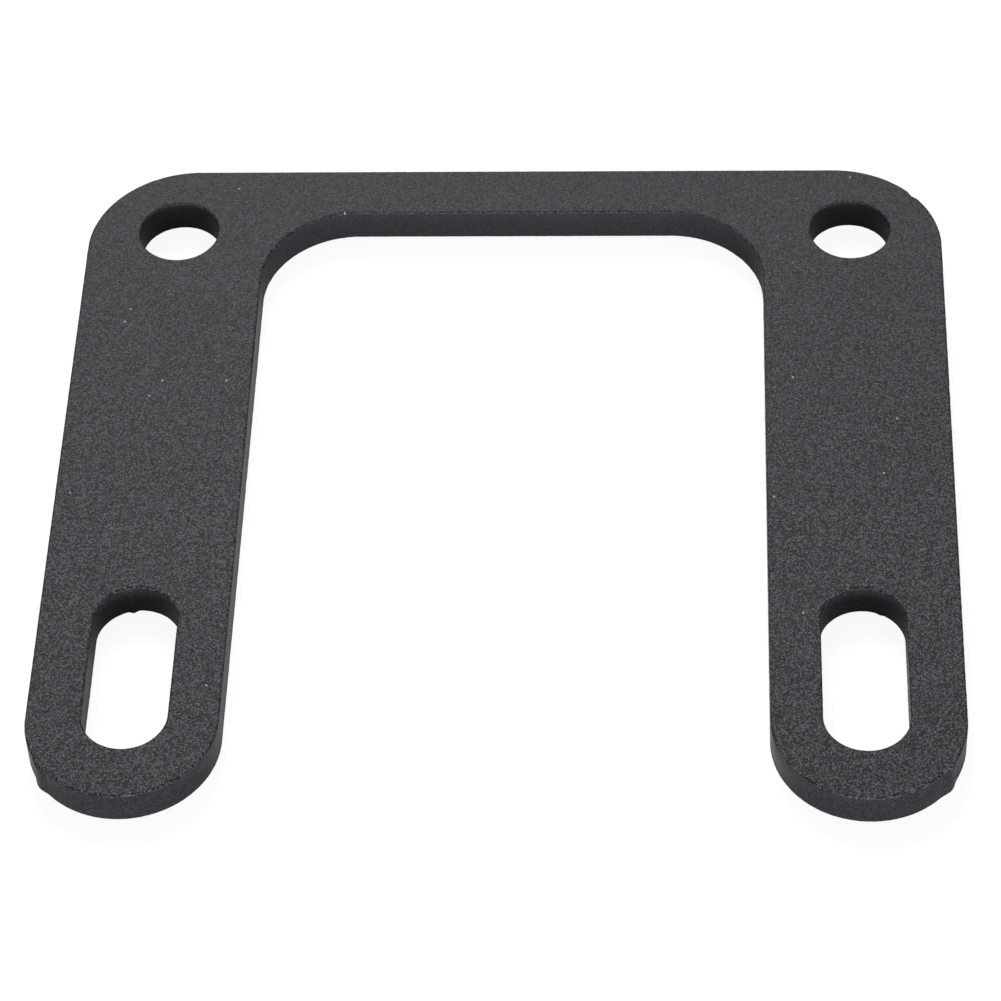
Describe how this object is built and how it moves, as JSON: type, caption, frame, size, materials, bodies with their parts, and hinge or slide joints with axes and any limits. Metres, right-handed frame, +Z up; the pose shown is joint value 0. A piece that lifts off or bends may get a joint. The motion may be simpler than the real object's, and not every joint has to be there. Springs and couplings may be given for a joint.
{
  "type": "motor mounting bracket",
  "caption": "Flat U-shaped plate bracket with round bolt holes in its back corners and adjusting slots near the rounded ends of its legs.",
  "frame": {"origin": "centre of the plate's bounding box, on its underside", "axes": "+X across the plate from leg to leg, +Y towards the back bar, +Z up through the thickness"},
  "size_m": [0.12, 0.112, 0.005],
  "materials": {
    "powder_coat": "fine-textured matt black powder coat on steel"
  },
  "bodies": {
    "root": {"bracket_plate": "powder_coat"}
  },
  "joints": []
}
